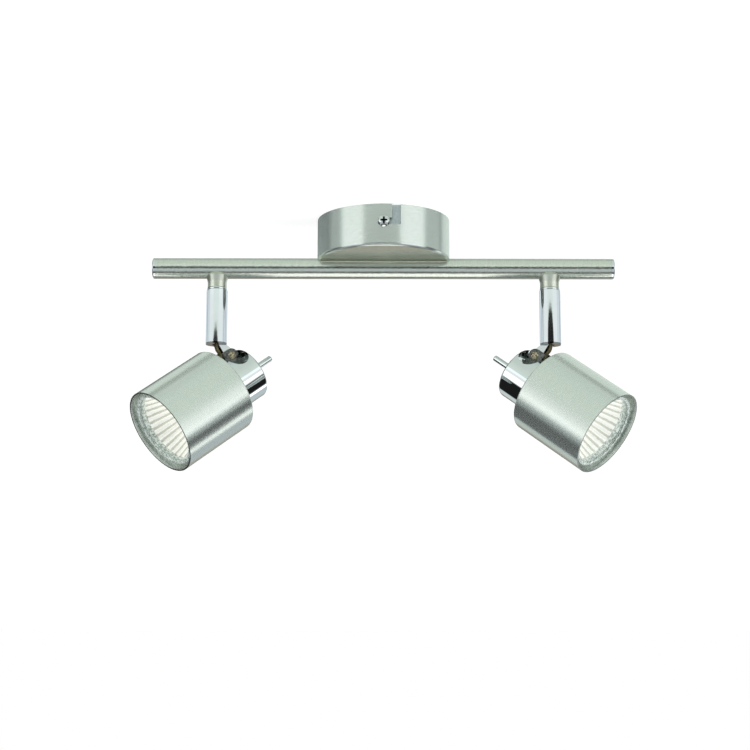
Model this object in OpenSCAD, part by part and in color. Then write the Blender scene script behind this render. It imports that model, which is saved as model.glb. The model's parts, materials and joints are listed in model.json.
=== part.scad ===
// Two-spot ceiling bar light. Millimetres, +Z up.
// The origin is the middle of the ceiling plane, at the canopy's open rim.
// The bar runs along X. Each arm turns about the vertical; each head tilts on its arm.

/* [Canopy and ceiling plate] */
// Outer diameter of the canopy
canopy_d = 86; // [84:1:96]
// Height of the canopy below the ceiling
canopy_h = 27.2; // [26:0.2:34]
// Sheet thickness of the canopy
canopy_t = 1; // [0.8:0.1:1.2]
// Radius of the canopy's lower edge
canopy_edge_r = 2; // [1.6:0.1:3]
// Depth of the canopy screws below the ceiling
screw_z = 11.1; // [10:0.1:12]
// Width of the bayonet slot's entry leg
slot_w = 5.4; // [5:0.1:6]
// Sideways distance from the screw to the entry leg
slot_run = 8; // [7:0.1:9]
// Width of the ceiling plate
plate_w = 24; // [23:0.5:25]
// Distance between the two ceiling screw slots
plate_pitch = 55; // [50:1:56]

/* [Bar] */
// Overall length of the bar with its end caps
bar_l = 300; // [280:1:340]
// Outer diameter of the bar
bar_d = 13.5; // [13.3:0.1:13.8]
// Wall of the bar tube
bar_t = 1; // [0.8:0.1:1.1]
// How far the top of the bar sinks into the canopy's floor
bar_sink = 2.3; // [2:0.1:2.6]
// Thickness of each end cap
cap_t = 2.1; // [1.8:0.1:2.6]

/* [Arms] */
// Distance of each arm from the middle of the bar
arm_x = 108; // [100:1:112]
// Diameter of the arm tube
arm_d = 13.8; // [13.6:0.1:14]
// Length of the arm below the swivel, with its plug
arm_l = 35.7; // [34:0.1:45]
// Azimuth of the right head, from the bar towards the front
right_azimuth = 32; // [0:1:90]
// Azimuth of the left head, from the bar towards the front
left_azimuth = 34; // [0:1:90]
// Largest turn of an arm each way
pan_limit = 165; // [150:1:165]

/* [Heads] */
// Nose-down tilt of the right head
right_tilt = 35.5; // [6:0.5:90]
// Nose-down tilt of the left head
left_tilt = 35; // [6:0.5:90]
// Distance of the tilt pivot behind the arm's axis
pivot_back = 9.3; // [9.2:0.1:9.6]
// Distance of the tilt pivot below the arm
pivot_drop = 6.6; // [6.5:0.1:7]
// Distance of the lamp's axis below the pivot
head_drop = 16.3; // [16.2:0.1:16.6]
// Outer diameter of the shade
shade_d = 56.8; // [56:0.1:60]
// Length of the shade
shade_l = 54.2; // [53.5:0.1:60]
// Diameter of the chrome lamp housing
housing_d = 35; // [34.8:0.1:36]
// Length of the handle rod behind the housing
handle_l = 19.5; // [12:0.5:30]

/* [Hidden] */
$fn = 64;

left = -1;
right = 1;
eps = 0.01;
seat = 0.05;            // gap between fixed pieces that sit on each other
swivel_gap = 0.15;      // gap between flat faces that turn on each other

satin = [0.72, 0.73, 0.70];
chrome = [0.86, 0.88, 0.90];
steel = [0.62, 0.66, 0.70];
brass = [0.80, 0.66, 0.35];
nylon = [0.93, 0.92, 0.87];
ceramic = [0.94, 0.93, 0.90];
glass = [0.92, 0.95, 0.96];
sleeve = [0.55, 0.42, 0.22];

// Canopy, ceiling plate and terminal block
canopy_r = canopy_d / 2;
slot_h = 4.2;
plate_t = 1.5;
plate_l = 79.8;
ear_h = 16;
ceiling_slot_r = 2.4;
ceiling_slot_l = 14;
wing_x = 34;
wing_w = 22;
earth_x = -18;
canopy_screw_r = 2;
canopy_head_r = 4;
block_x = 13.5;
block_l = 18;
pole_pitch = 6.5;
pole_z = -5.5;
block_z = -14;

// Bar and its centre stud
bar_r = bar_d / 2;
bar_z = -canopy_h + bar_sink - bar_r;
groove_r = bar_r + seat;
stud_r = 4;
stud_bore_r = 2.75;
groove_top = bar_z + groove_r + canopy_t;
washer_t = 0.8;
nut_h = 4;
stud_top = -15.5;
bush_t = 1;
bush_bore_r = 2.05;

// Swivel between the bar and an arm
collar_r = 6.2;
collar_bottom = bar_z - 13.05;
ring_r = 6.5;
ring_t = 1.6;
ring_top = collar_bottom - swivel_gap;
arm_top = ring_top - ring_t - seat;
arm_r = arm_d / 2;
arm_wall = 1;
arm_bottom = arm_top - arm_l;
neck_h = 5;
swivel_fit = 0.06;
nut_r = 5.4;
nut_t = 3;
stud_end = arm_top - neck_h - nut_t - 2;
stop_pin_r = 0.5;
stop_orbit = 5.3;
stop_web = 15 - asin(stop_pin_r / stop_orbit) - 0.6 + (165 - pan_limit);

// Plug and knuckle, seen from the pivot with X to the front
plug_flange = 0.9;
plug_h = 5;
lead_hole_r = 2.6;
cheek_in = 2.7;
cheek_t = 0.8;
cheek_r = 3.9;
cheek_back = 3.5;
cheek_front = 9.5;
tab_back = 5.6;
tab_h = 3;
pivot_z = arm_bottom - pivot_drop;
pivot_r = 1.5;
pivot_fit = 0.06;

// Fork and notch in the housing
notch_r = 7.3;
notch_wall = 1;
fork_in = 3.9;
fork_t = 0.9;
fork_r = 4.5;
fork_front = 6;
fork_web_t = 1;

// Distances along the lamp's axis, from the pivot
housing_back = -7.5;
housing_r = housing_d / 2;
housing_wall = 2;
cavity_r = 15.3;
spigot_r = 16.5;
spigot_end = 21;
shade_back = 15.8;
shade_r = shade_d / 2;
shade_t = 0.9;
shade_front = shade_back + shade_l;
holder_back = 7;
holder_front = 19;
holder_w = 27;
holder_h = 17;
holder_r = 14.6;
holder_screw_y = 10.5;
screw_r = 1.5;
pin_orbit = 5;
pin_r = 1.5;
pin_head_r = 2.4;
pin_head_t = 2.4;
pin_l = 6.6;
twist = 20;
base_back = holder_front + 0.4;
base_l = 12;
bowl_back = base_back + base_l + seat;
bowl_r = 25.3;
bowl_front = 62;
bowl_t = 1.6;
rim_l = 3.2;
lens_t = 2;
capsule_r = 4.6;

// Leads
lead_r = 0.75;
sleeve_r = 0.9;
sleeve_y = 0.95;

function sub(a, b) = [a[0] - b[0], a[1] - b[1], a[2] - b[2]];
function unit(v) = v / norm(v);
function tangent(p, i) = unit(sub(p[min(i + 1, len(p) - 1)], p[max(i - 1, 0)]));
// Ring of points around a route's point; no stretch of the route runs along Y
function ring(c, t, r, n) =
    let (u = unit(cross(t, [0, 1, 0])), v = cross(t, u))
    [for (k = [0 : n - 1]) c + r * (cos(360 * k / n) * u + sin(360 * k / n) * v)];

// Angle of the point where a line from p touches a circle of radius r at the origin
function touch(p, r, side) = atan2(p[1], p[0]) + side * acos(r / norm(p));
function polar(r, a) = [r * cos(a), r * sin(a)];

// Radius of the glass bowl at a distance x along the lamp's axis
function bowl(x) = bowl_r * sqrt((x - 26) / (bowl_front - 26));

// Round lead swept along its own points
module lead(points, r, n = 8) {
    rings = [for (i = [0 : len(points) - 1]) each ring(points[i], tangent(points, i), r, n)];
    last = (len(points) - 1) * n;
    sides = [for (i = [0 : len(points) - 2], k = [0 : n - 1])
        let (a = i * n + k, b = i * n + (k + 1) % n) [a, a + n, b + n, b]];
    polyhedron(rings, concat(
        [[for (k = [0 : n - 1]) k]],
        [[for (k = [n - 1 : -1 : 0]) last + k]],
        sides));
}

// Cylinder along X from x0 to x1
module rod_x(x0, x1, r) {
    translate([x0, 0, 0]) rotate([0, 90, 0]) cylinder(r = r, h = x1 - x0);
}

// Cylinder along Y from y0 to y1
module rod_y(y0, y1, r) {
    translate([0, y0, 0]) rotate([-90, 0, 0]) cylinder(r = r, h = y1 - y0);
}

// Cylinder along Z from z0 to z1
module rod_z(z0, z1, r) {
    translate([0, 0, z0]) cylinder(r = r, h = z1 - z0);
}

// Half outline of a cup of radius r from y0 to y1, with its edge at y0 rounded by e
module cup_outline(r, y0, y1, e) {
    translate([0, y0 + e]) square([r, y1 - y0 - e]);
    translate([0, y0]) square([r - e, e + eps]);
    translate([r - e, y0 + e]) circle(r = e);
}

// Domed screw head on the plane z = 0, with a cross recess
module dome_head(r, h) {
    ball = (r * r + h * h) / (2 * h);
    arm = r * 1.1;
    difference() {
        intersection() {
            cylinder(r = r, h = h);
            translate([0, 0, h - ball]) sphere(r = ball);
        }
        for (a = [0, 90])
            rotate([0, 0, a]) translate([-arm / 2, -r / 9, h * 0.45]) cube([arm, r / 4.5, h]);
    }
}

// Frame of an arm: X points to the front of its head
module arm_frame(side) {
    translate([side * arm_x, 0, 0])
        rotate([0, 0, side == right ? -right_azimuth : 180 + left_azimuth])
            children();
}

// Frame of a head: origin at the tilt pivot, X along the lamp's axis
module head_frame(side) {
    arm_frame(side)
        translate([-pivot_back, 0, pivot_z])
            rotate([0, side == right ? right_tilt : left_tilt, 0])
                children();
}

// Frame of a lamp: Z runs along the lamp's axis to the front, X points down
module lamp_frame(side) {
    head_frame(side) translate([0, 0, -head_drop]) rotate([0, 90, 0]) children();
}

// ---- Fixed pieces ----

// Slot for a ceiling screw, along Y
module ceiling_slot() {
    run = ceiling_slot_l / 2 - ceiling_slot_r;
    for (y = [-run, run])
        translate([0, y, 0]) rod_z(-plate_t - 1, 1, ceiling_slot_r);
    translate([-ceiling_slot_r, -run, -plate_t - 1]) cube([2 * ceiling_slot_r, 2 * run, plate_t + 2]);
}

module mounting_bracket() {
    wing_short = 12 + plate_w / 2;
    color(steel) difference() {
        union() {
            translate([-plate_w / 2, -plate_l / 2, -plate_t]) cube([plate_w, plate_l, plate_t]);
            translate([0, -wing_w / 2, -plate_t]) cube([wing_x, wing_w, plate_t]);
            translate([-wing_short, -6, -plate_t]) cube([wing_short, 12, plate_t]);
            for (s = [-1, 1])
                translate([-plate_w / 2, s * (plate_l - plate_t) / 2 - plate_t / 2, -ear_h])
                    cube([plate_w, plate_t, ear_h]);
        }
        for (s = [-1, 1])
            translate([0, s * plate_pitch / 2, 0]) ceiling_slot();
        translate([0, 0, -screw_z]) rod_y(-plate_l, plate_l, canopy_screw_r + seat);
        translate([earth_x, 0, 0]) rod_z(-plate_t - 1, 1, 1.8);
    }
}

// Bayonet slot: up from the rim, then sideways to the screw
module bayonet_slot() {
    reach = canopy_r + 1;
    deep = 6;
    translate([slot_run - slot_w / 2, -reach, -screw_z - slot_h / 2])
        cube([slot_w, deep, screw_z + slot_h / 2 + 1]);
    translate([0, -reach, -screw_z - slot_h / 2]) cube([slot_run, deep, slot_h]);
    translate([0, 0, -screw_z]) rod_y(-reach, -reach + deep, slot_h / 2);
}

module canopy_cup(r, bottom, e) {
    rotate_extrude($fn = 96)
        intersection() {
            cup_outline(r, bottom, 0, e);
            translate([0, bottom - 1]) square([r + 1, canopy_h + 2]);
        }
}

module canopy() {
    color(satin) difference() {
        union() {
            difference() {
                canopy_cup(canopy_r, -canopy_h, canopy_edge_r);
                translate([0, 0, eps])
                    canopy_cup(canopy_r - canopy_t, -canopy_h + canopy_t, canopy_edge_r - canopy_t);
            }
            intersection() {
                canopy_cup(canopy_r, -canopy_h, canopy_edge_r);
                translate([0, 0, bar_z]) rod_x(-canopy_r, canopy_r, groove_r + canopy_t);
            }
        }
        translate([0, 0, bar_z]) rod_x(-canopy_d, canopy_d, groove_r);
        rod_z(-canopy_h - 1, -canopy_h + 8, stud_r + seat);
        for (a = [0, 180])
            rotate([0, 0, a]) bayonet_slot();
    }
}

module canopy_screws() {
    color(chrome) for (a = [0, 180])
        rotate([0, 0, a]) translate([0, -canopy_r - seat, -screw_z]) rotate([90, 0, 0]) {
            dome_head(canopy_head_r, 2.2);
            rod_z(-7, eps, canopy_screw_r);
        }
}

module terminal_block() {
    top = -plate_t - seat;
    color(nylon) difference() {
        union() {
            for (y = [-pole_pitch, 0, pole_pitch]) {
                translate([block_x, y, pole_z]) rod_x(0, block_l, 3);
                for (x = [0.27, 0.73] * block_l)
                    translate([block_x + x, y, 0]) rod_z(block_z, pole_z, 2.5);
            }
            translate([block_x + 1, -pole_pitch - 2.5, top - 3]) cube([block_l - 2, 2 * pole_pitch + 5, 3]);
        }
        for (y = [-pole_pitch, 0, pole_pitch]) {
            translate([block_x - 1, y, pole_z]) rod_x(0, block_l + 2, 1.9);
            for (x = [0.27, 0.73] * block_l)
                translate([block_x + x, y, 0]) rod_z(block_z - 1, pole_z, 1.6);
        }
        translate([0, 0, top]) linear_extrude(5) square([200, 200], center = true);
    }
}

module terminal_screws() {
    color(brass) for (y = [-pole_pitch, 0, pole_pitch], x = [0.27, 0.73] * block_l)
        translate([block_x + x, y, 0]) difference() {
            rod_z(block_z + 0.6, pole_z - 1.7, 1.5);
            translate([-2, -0.3, block_z]) cube([4, 0.6, 1.3]);
        }
}

module earth_screw() {
    color(brass) translate([earth_x, 0, -plate_t - seat]) {
        difference() {
            union() {
                rod_z(-0.8, 0, 4);
                rod_z(-3, -0.8, 3.2);
            }
            translate([-4, -0.4, -4]) cube([8, 0.8, 2]);
        }
        rod_z(-eps, plate_t, 1.75);
    }
}

// Two leads to each arm, from the terminal block through the centre stud and along the bar
module supply_leads() {
    color(sleeve) for (side = [left, right], w = [-1, 1]) {
        y = 0.85 * w;
        lift = side == left ? 0.8 : -0.8;
        lead([
            [side * arm_x, sleeve_y * w, stud_end + 0.5],
            [side * arm_x, sleeve_y * w, bar_z - 4],
            [side * (arm_x - 1.2), sleeve_y * w, bar_z - 1.4],
            [side * (arm_x - 4), y, bar_z],
            [side * 4, y, bar_z],
            [side * 1.5, y, bar_z + 1],
            [side * 0.85, y, bar_z + 3],
            [side * 0.85, y, stud_top + 3],
            [side * 0.85 + 0.5, y, pole_z - 2.4 + 2 * lift],
            [side * 0.85 + 2.4, 1.5 * y, pole_z - 0.5 + 1.5 * lift],
            [block_x - 3, w * (pole_pitch - 0.6), pole_z + lift],
            [block_x + 3, w * pole_pitch, pole_z + lift]
        ], lead_r);
    }
}

module earth_lead() {
    color([0.35, 0.6, 0.2]) lead([
        [earth_x + 4.4, 0, -plate_t - 1],
        [earth_x + 8, 0, -plate_t - 1.2],
        [block_x - 8, 0, -plate_t - 1.2],
        [block_x - 3, 0, pole_z + 1],
        [block_x + 3, 0, pole_z]
    ], lead_r);
}

module bar_tube() {
    half = bar_l / 2 - cap_t;
    color(satin) difference() {
        translate([0, 0, bar_z]) rod_x(-half, half, bar_r);
        translate([0, 0, bar_z]) rod_x(-half - 1, half + 1, bar_r - bar_t);
        rod_z(bar_z, bar_z + bar_d, stud_r + seat);
        for (side = [left, right])
            translate([side * arm_x, 0, 0]) rod_z(bar_z - bar_d, bar_z, stud_r + seat);
    }
}

module end_caps() {
    plug_r = bar_r - bar_t - seat;
    color(chrome) for (side = [left, right])
        translate([side * bar_l / 2, 0, bar_z]) rotate([0, -90 * side, 0]) {
            rotate_extrude() cup_outline_flat();
            rod_z(cap_t - seat, cap_t + 5, plug_r);
        }
}

// Half outline of an end cap's head, its outer edge rounded
module cup_outline_flat() {
    e = 0.9;
    intersection() {
        cup_outline(bar_r, 0, cap_t - seat, e);
        square([bar_r + 1, cap_t]);
    }
}

// Hollow threaded stud that ties the bar to the canopy
module bar_stud() {
    color(brass) difference() {
        rod_z(bar_z + 2.5, stud_top, stud_r);
        rod_z(bar_z, stud_top + 1, stud_bore_r);
    }
}

module bar_nut() {
    bottom = groove_top + washer_t + 2 * seat;
    color(steel) difference() {
        translate([0, 0, bottom]) cylinder(r = 13 / 2 / cos(30), h = nut_h, $fn = 6);
        rod_z(bottom - 1, bottom + nut_h + 1, stud_r + seat);
    }
}

module toothed_washer() {
    bottom = groove_top + seat;
    teeth = 10;
    color(steel) difference() {
        rod_z(bottom, bottom + washer_t, 7);
        rod_z(bottom - 1, bottom + washer_t + 1, stud_r + seat);
        for (k = [0 : teeth - 1])
            rotate([0, 0, 360 * k / teeth])
                translate([6, -0.5, bottom - 1]) cube([2, 1, washer_t + 2]);
    }
}

// Plastic bush that keeps the leads off the stud's edge
module stud_bush() {
    color(nylon) difference() {
        union() {
            rod_z(stud_top + seat, stud_top + seat + bush_t, 4.8);
            rod_z(stud_top - 4, stud_top + seat + eps, stud_bore_r - seat);
        }
        rod_z(stud_top - 5, stud_top + 2 * bush_t, bush_bore_r);
    }
}

// Saddle collars under the bar, one at each arm
module bar_collars() {
    flare_r = 7.3;
    flare_top = bar_z - 5;
    color(satin) for (side = [left, right])
        translate([side * arm_x, 0, 0]) difference() {
            union() {
                rod_z(collar_bottom, flare_top, collar_r);
                translate([0, 0, flare_top - 4.2]) cylinder(r1 = collar_r, r2 = flare_r, h = 4.2);
            }
            translate([0, 0, bar_z]) rod_x(-20, 20, groove_r);
            rod_z(collar_bottom - 1, bar_z, stud_r + seat);
            stop_pin_place(side) rod_z(collar_bottom - 1, collar_bottom + 1.5, stop_pin_r + 0.02);
        }
}

// Hollow studs fixed in the bar, on which the arms turn
module swivel_studs() {
    color(brass) for (side = [left, right])
        translate([side * arm_x, 0, 0]) difference() {
            rod_z(stud_end, bar_z - 2, stud_r);
            rod_z(stud_end - 1, bar_z, stud_bore_r);
        }
}

// Slotted ring nuts that hold the arms on their studs
module ring_nuts() {
    top = arm_top - neck_h - swivel_gap;
    color(steel) for (side = [left, right])
        translate([side * arm_x, 0, 0]) difference() {
            rod_z(top - nut_t, top, nut_r);
            rod_z(top - nut_t - 1, top + 1, stud_r + seat);
            for (s = [-1, 1])
                translate([s * 5.6 - 1, -0.9, top - nut_t - 1]) cube([2, 1.8, 2.2]);
        }
}

// Where a stop pin stands: behind the swivel's axis as the head points at rest
module stop_pin_place(side) {
    rotate([0, 0, side == right ? 180 - right_azimuth : left_azimuth])
        translate([stop_orbit, 0, 0])
            children();
}

module pan_stop_pins() {
    color(steel) for (side = [left, right])
        translate([side * arm_x, 0, 0]) stop_pin_place(side)
            rod_z(collar_bottom - 0.95, collar_bottom + 1.4, stop_pin_r);
}

// ---- Arms ----

// Ring that turns with the arm; its groove runs over the stop pin
module swivel_ring(side) {
    color(chrome) arm_frame(side) difference() {
        rod_z(ring_top - ring_t, ring_top, ring_r);
        rod_z(ring_top - ring_t - 1, ring_top + 1, stud_r + swivel_fit);
        translate([0, 0, ring_top - 1]) rotate([0, 0, stop_web])
            rotate_extrude(angle = 360 - 2 * stop_web)
                translate([stop_orbit - stop_pin_r - 0.15, 0])
                    square([2 * stop_pin_r + 0.3, 2]);
    }
}

// Tube with a turned neck that runs on the stud
module arm_tube(side) {
    end = arm_bottom + plug_flange + seat;
    color(chrome) arm_frame(side) difference() {
        rod_z(end, arm_top, arm_r);
        rod_z(end - 1, arm_top - neck_h, arm_r - arm_wall);
        rod_z(arm_top - neck_h - 1, arm_top + 1, stud_r + swivel_fit);
    }
}

module arm_plug(side) {
    top = arm_bottom + plug_flange;
    color(chrome) arm_frame(side) difference() {
        union() {
            rod_z(arm_bottom, top, arm_r - 0.15);
            rod_z(arm_bottom, top + plug_h, arm_r - arm_wall - seat);
        }
        rod_z(arm_bottom - 1, top + plug_h + 1, lead_hole_r);
        for (s = [-1, 1])
            translate([tab_back - pivot_back - seat, s * (cheek_in + cheek_t / 2) - cheek_t / 2 - seat, arm_bottom - 1])
                cube([cheek_front - tab_back + 2 * seat, cheek_t + 2 * seat, tab_h + 1.2]);
    }
}

// Outline of one cheek, from the pivot up to the plug
module cheek_outline() {
    top = pivot_drop - 0.03;
    back = touch([cheek_back, top], cheek_r, 1);
    front = touch([cheek_front, top], cheek_r, -1);
    circle(r = cheek_r);
    polygon([
        [0, 0], polar(cheek_r, front), [cheek_front, top], [cheek_front, top + tab_h],
        [tab_back, top + tab_h], [tab_back, top], [cheek_back, top], polar(cheek_r, back)
    ]);
}

// Bent strip along the back edge that joins the two cheeks
module knuckle_web() {
    top = pivot_drop - 0.03;
    back = polar(cheek_r, touch([cheek_back, top], cheek_r, 1));
    run = [cheek_back, top] - back;
    along = run / norm(run);
    in = [along[1], -along[0]];
    polygon([back, [cheek_back, top], [cheek_back, top] + cheek_t * 1.25 * [1, 0], back + cheek_t * in]);
}

module knuckle(side) {
    color(chrome) arm_frame(side) translate([-pivot_back, 0, pivot_z]) difference() {
        union() {
            for (s = [-1, 1])
                translate([0, s * (cheek_in + cheek_t / 2) + cheek_t / 2, 0])
                    rotate([90, 0, 0]) linear_extrude(cheek_t) cheek_outline();
            translate([0, cheek_in + eps, 0])
                rotate([90, 0, 0]) linear_extrude(2 * cheek_in + 2 * eps) knuckle_web();
        }
        rod_y(-10, 10, pivot_r + pivot_fit);
    }
}

// Pair of sleeved leads down the arm and through the knuckle to the pivot
module arm_leads(side) {
    color(sleeve) arm_frame(side) for (w = [-1, 1])
        lead([for (p = [
            [9.3, stud_end - pivot_z - 0.5], [9.3, 7.5], [9.25, 5.6], [8.8, 3.8], [7.9, 2.4],
            [6.7, 1.3], [5.6, 0.2], [4.9, -1.1], [4.7, -2.5]
        ]) [p[0] - pivot_back, w * sleeve_y, p[1] + pivot_z]], sleeve_r);
}

// ---- Heads ----

module lamp_housing(side) {
    boss_r = 3;
    color(chrome) difference() {
        union() {
            lamp_frame(side) difference() {
                union() {
                    rotate_extrude($fn = 96) intersection() {
                        cup_outline(housing_r, housing_back, shade_back - seat, 1.4);
                        translate([0, housing_back]) square([housing_r + 1, 40]);
                    }
                    rod_z(shade_back - 1, spigot_end, spigot_r);
                }
                rod_z(housing_back + housing_wall, spigot_end + 1, cavity_r);
            }
            lamp_frame(side) for (s = [-1, 1])
                translate([0, s * holder_screw_y, 0]) rod_z(housing_back + 1, holder_back - seat, boss_r);
            intersection() {
                head_frame(side) rod_y(-20, 20, notch_r + notch_wall);
                lamp_frame(side) rod_z(housing_back + 1, shade_back - 1, housing_r - 0.5);
            }
        }
        head_frame(side) rod_y(-30, 30, notch_r);
        head_frame(side) rotate([0, 36, 0]) translate([notch_r - 1, 0, 0]) rod_x(0, 3.4, 2.3);
        lamp_frame(side) rod_z(housing_back - 1, housing_back + 3, 1.9);
        lamp_frame(side) for (s = [-1, 1])
            translate([0, s * holder_screw_y, 0]) rod_z(0, 10, screw_r + 0.02);
    }
}

// Outline of one fork ear, in the plane across the pivot
module ear_outline() {
    circle(r = fork_r);
    square([fork_front, fork_r]);
    intersection() {
        circle(r = notch_r - seat);
        translate([-fork_r, -notch_r]) square([fork_front + fork_r, notch_r + eps]);
    }
}

// Two ears around the knuckle, joined by a bent web that lies in the housing's notch
module tilt_fork(side) {
    color(chrome) head_frame(side) difference() {
        union() {
            for (s = [-1, 1])
                translate([0, s * (fork_in + fork_t / 2) + fork_t / 2, 0])
                    rotate([90, 0, 0]) linear_extrude(fork_t) ear_outline();
            intersection() {
                difference() {
                    rod_y(-fork_in - eps, fork_in + eps, notch_r - seat);
                    rod_y(-10, 10, notch_r - fork_web_t);
                }
                translate([-fork_r, -fork_in - eps, -notch_r])
                    cube([2 * fork_r - 1.5, 2 * (fork_in + eps), 3]);
            }
        }
        rod_y(-10, 10, pivot_r + 0.02);
    }
}

module shade(side) {
    edge = 1.2;
    color(satin) lamp_frame(side) rotate_extrude($fn = 96) difference() {
        intersection() {
            cup_outline(shade_r, shade_back, shade_front, edge);
            translate([0, shade_back]) square([shade_r + 1, shade_l]);
        }
        intersection() {
            cup_outline(shade_r - shade_t, shade_back + 1, shade_front + 1, edge - shade_t);
            translate([0, shade_back + 1]) square([shade_r + 1, shade_l + 1]);
        }
        translate([-1, shade_back - 1]) square([1 + spigot_r + seat, 4]);
    }
}

// Ring nut that clamps the shade against the housing's shoulder
module shade_ring(side) {
    back = shade_back + 1 + seat;
    notches = 4;
    color(steel) lamp_frame(side) difference() {
        rod_z(back, back + 3.4, 20);
        rod_z(back - 1, back + 5, spigot_r + seat);
        for (k = [0 : notches - 1])
            rotate([0, 0, 45 + 360 * k / notches]) translate([18.8, -1.5, back + 1.6]) cube([4, 3, 4]);
    }
}

module handle_rod(side) {
    handle_r = 2;
    end = housing_back - handle_l;
    color(chrome) lamp_frame(side) {
        rotate_extrude($fn = 48) intersection() {
            cup_outline(handle_r, end, housing_back - seat, 0.8);
            translate([0, end]) square([handle_r + 1, handle_l]);
        }
        rod_z(housing_back - seat - eps, housing_back + 2.5, 1.85);
    }
}

// Screw head and nut sit outside the fork's ears; the head faces the front of the fixture
module pivot_screw(side) {
    face = fork_in + fork_t + seat;
    color(steel) head_frame(side) rotate([side == right ? 90 : -90, 0, 0]) {
        translate([0, 0, face]) dome_head(2.8, 1.6);
        rod_z(-face - 3, face + eps, pivot_r);
    }
}

module pivot_nut(side) {
    face = fork_in + fork_t + seat;
    color(steel) head_frame(side) rotate([side == right ? -90 : 90, 0, 0]) difference() {
        translate([0, 0, face]) cylinder(r = 5.5 / 2 / cos(30), h = 2.4, $fn = 6);
        rod_z(face - 1, face + 4, pivot_r + 0.02);
    }
}

// Curved slot in which a lamp pin of radius r runs, from locked to released
module pin_slot(r, z0, z1) {
    ends = asin(r / pin_orbit) + 1;
    translate([0, 0, z0]) rotate([0, 0, 90 - ends])
        rotate_extrude(angle = twist + 2 * ends)
            translate([pin_orbit - r, 0]) square([2 * r, z1 - z0]);
}

module lampholder(side) {
    lip = 1.8;
    color(ceramic) lamp_frame(side) difference() {
        intersection() {
            rod_z(holder_back, holder_front, holder_r);
            translate([-holder_h / 2, -holder_w / 2, holder_back])
                cube([holder_h, holder_w, holder_front - holder_back]);
        }
        for (a = [0, 180]) rotate([0, 0, a]) {
            pin_slot(pin_r + 0.3, holder_front - lip - 1, holder_front + 1);
            pin_slot(pin_head_r + 0.4, holder_back + 2, holder_front - lip);
            rotate([0, 0, 90 + twist]) translate([pin_orbit, 0, 0])
                rod_z(holder_front - lip - 1, holder_front + 1, pin_head_r + 0.2);
            translate([0, holder_screw_y, 0]) {
                rod_z(holder_back - 1, holder_front + 1, screw_r + 0.1);
                rod_z(holder_front - 2.4, holder_front + 1, 2.9);
            }
            translate([0, pin_orbit, 0]) rod_z(holder_back - 1, holder_back + 3, 1.1);
        }
    }
}

// Contact plates on the floor of each pin pocket
module holder_contacts(side) {
    color(brass) lamp_frame(side) for (s = [-1, 1])
        translate([0, s * pin_orbit, 0]) {
            rod_z(holder_back + 2 + seat, holder_back + 2.8, 2.4);
            rod_z(holder_back + 0.6, holder_back + 2.1, 1);
        }
}

module holder_screws(side) {
    color(steel) lamp_frame(side) for (s = [-1, 1])
        translate([0, s * holder_screw_y, 0]) {
            translate([0, 0, holder_front - 2.4 + seat]) dome_head(2.7, 1.6);
            rod_z(1, holder_front - 2.4 + seat + eps, screw_r);
        }
}

// Sleeved leads from the housing's lead hole round the back of the lampholder
module head_leads(side) {
    color(sleeve) head_frame(side) for (w = [-1, 1])
        lead([for (p = [
            [6.0, -4.4, 0], [6.9, -5.1, 0], [7, -5.9, 0], [6.1, -7.2, 0.2], [5.3, -9, 0.5],
            [4.8, -12, 0.8], [5, -14.8, 1], [5.7, -16, 1], [6.9, -16.3, 1]
        ]) [p[0], w * (sleeve_y + p[2] * (pin_orbit - sleeve_y)), p[1]]], sleeve_r);
}

// ---- Lamps ----

module lamp_base(side) {
    color(ceramic) lamp_frame(side) difference() {
        union() {
            intersection() {
                rod_z(base_back, base_back + base_l, 12.8);
                translate([-8.4, -20, base_back]) cube([16.8, 40, base_l]);
            }
            rod_z(base_back + 4, base_back + base_l, 8.8);
        }
        rod_z(base_back + base_l - 3, base_back + base_l + 1, 4.4);
        for (s = [-1, 1])
            translate([0, s * pin_orbit, 0]) rod_z(base_back - 1, base_back + 3, pin_r + 0.02);
    }
}

// Two headed pins that twist into the lampholder
module lamp_pins(side) {
    end = base_back - pin_l;
    color(chrome) lamp_frame(side) for (s = [-1, 1])
        translate([0, s * pin_orbit, 0]) {
            rod_z(end, end + pin_head_t, pin_head_r);
            rod_z(end, base_back + 2.5, pin_r);
        }
}

module lamp_reflector(side) {
    steps = 14;
    from = bowl_back;
    xs = [for (k = [0 : steps]) from + (bowl_front - from) * k / steps];
    color(glass) lamp_frame(side) rotate_extrude($fn = 96)
        polygon(concat(
            [for (x = xs) [bowl(x), x]],
            [[bowl_r, bowl_front + rim_l], [bowl_r - bowl_t, bowl_front + rim_l]],
            [for (k = [steps : -1 : 1]) [bowl(xs[k]) - bowl_t, xs[k]]],
            [[5.4, from + 1.2], [5.4, from]]));
}

module lamp_lens(side) {
    back = bowl_front + rim_l + seat;
    color(glass) lamp_frame(side) rotate_extrude($fn = 96) difference() {
        intersection() {
            mirror([0, 1]) cup_outline(bowl_r - 0.1, -back - lens_t, -back, 0.7);
            translate([0, back]) square([bowl_r + 1, lens_t]);
        }
        translate([0, back + lens_t - 0.6]) square([bowl_r - 2.4, 2]);
    }
}

module lamp_capsule(side) {
    back = base_back + base_l - 2.8;
    tip = back + 22;
    color([0.98, 0.95, 0.85]) lamp_frame(side) rotate_extrude($fn = 48) union() {
        translate([0, back]) square([3.6, 8]);
        translate([0, back + 6]) square([capsule_r, tip - capsule_r - back - 6]);
        intersection() {
            translate([0, tip - capsule_r]) circle(r = capsule_r);
            translate([0, tip - capsule_r - eps]) square([capsule_r, capsule_r + 1]);
        }
    }
}

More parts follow.
